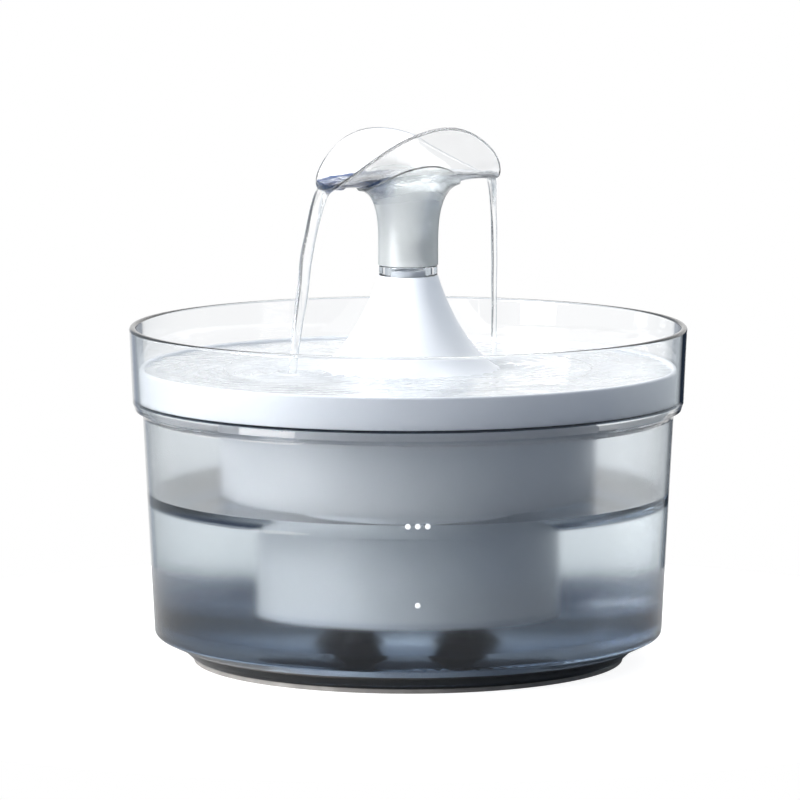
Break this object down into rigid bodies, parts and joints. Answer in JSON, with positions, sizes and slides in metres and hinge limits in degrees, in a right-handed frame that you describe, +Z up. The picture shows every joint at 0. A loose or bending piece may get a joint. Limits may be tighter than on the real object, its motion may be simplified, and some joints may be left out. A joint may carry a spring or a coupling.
{
  "type": "pet water fountain",
  "caption": "Round pet water fountain: clear stepped bowl, white ring dish over a filter drum, central cone with a frosted neck and a wavy two-lipped clear spout, pump on suction cups inside.",
  "frame": {"origin": "centre of the non-slip ring's underside, on the surface that the fountain stands on", "axes": "+Z up along the bowl, cone and neck; -Y to the front, where the level marks are; +X to the right seen from the front"},
  "size_m": [0.2298, 0.2298, 0.2228],
  "materials": {
    "clear_plastic": "clear, glossy; satin below the collar",
    "white_plastic": "satin",
    "frosted_plastic": "frosted",
    "grey_silicone": "matte",
    "black_rubber": "matte",
    "black_plastic": "satin",
    "clear_silicone": "satin",
    "foam": "open-cell foam",
    "fleece": "needled fleece",
    "carbon": "granular",
    "ferrite": "matte",
    "ceramic_pin": "ground"
  },
  "bodies": {
    "bowl": {"reservoir": "clear_plastic", "non_slip_ring": "grey_silicone"},
    "tray": {"drinking_tray": "white_plastic", "filter_basket": "white_plastic"},
    "cartridge": {"cartridge_case": "white_plastic", "sponge_pad": "foam", "carbon_bed": "carbon", "polish_pad": "fleece", "cartridge_lid": "white_plastic"},
    "cone": {"fountain_cone": "white_plastic", "neck_ring": "clear_plastic"},
    "head": {"neck_sleeve": "frosted_plastic", "spout_head": "clear_plastic"},
    "pump": {"pump_base": "white_plastic", "pump_cover": "white_plastic", "suction_cups": "black_rubber", "prefilter_sponge": "foam", "pump_body": "black_plastic", "cable_gland": "black_rubber", "volute_cover": "black_plastic", "volute_seal": "black_rubber", "intake_cap": "black_plastic", "pump_shaft": "ceramic_pin", "shaft_bushes": "black_rubber", "outlet_seal": "black_rubber", "riser_tube": "clear_silicone"},
    "rotor": {"impeller": "white_plastic", "rotor_magnet": "ferrite"},
    "dial": {"flow_dial": "black_plastic"}
  },
  "joints": [
    {"name": "tray_lift", "type": "slide", "parent": "bowl", "child": "tray", "axis": [0, 0, 1], "range_m": [0, 0.2]},
    {"name": "cone_lift", "type": "slide", "parent": "tray", "child": "cone", "axis": [0, 0, 1], "range_m": [0, 0.12]},
    {"name": "cartridge_lift", "type": "slide", "parent": "tray", "child": "cartridge", "axis": [0, 0, 1], "range_m": [0, 0.06]},
    {"name": "head_turn", "type": "hinge", "parent": "cone", "child": "head", "pos_m": [0, 0, 0.1635], "axis": [0, 0, 1], "continuous": true},
    {"name": "pump_lift", "type": "slide", "parent": "bowl", "child": "pump", "axis": [0, 0, 1], "range_m": [0, 0.14]},
    {"name": "impeller_spin", "type": "hinge", "parent": "pump", "child": "rotor", "pos_m": [-0.0073, 0, 0.0394], "axis": [0, 1, 0], "continuous": true},
    {"name": "dial_turn", "type": "hinge", "parent": "pump", "child": "dial", "pos_m": [-0.0073, -0.0075, 0.0394], "axis": [0, -1, 0], "range_deg": [0, 90]}
  ],
  "couplings": [
    {"joint": "cartridge_lift", "follows": "cone_lift", "ratio": 0.5},
    {"joint": "pump_lift", "follows": "tray_lift", "ratio": 0.7}
  ]
}
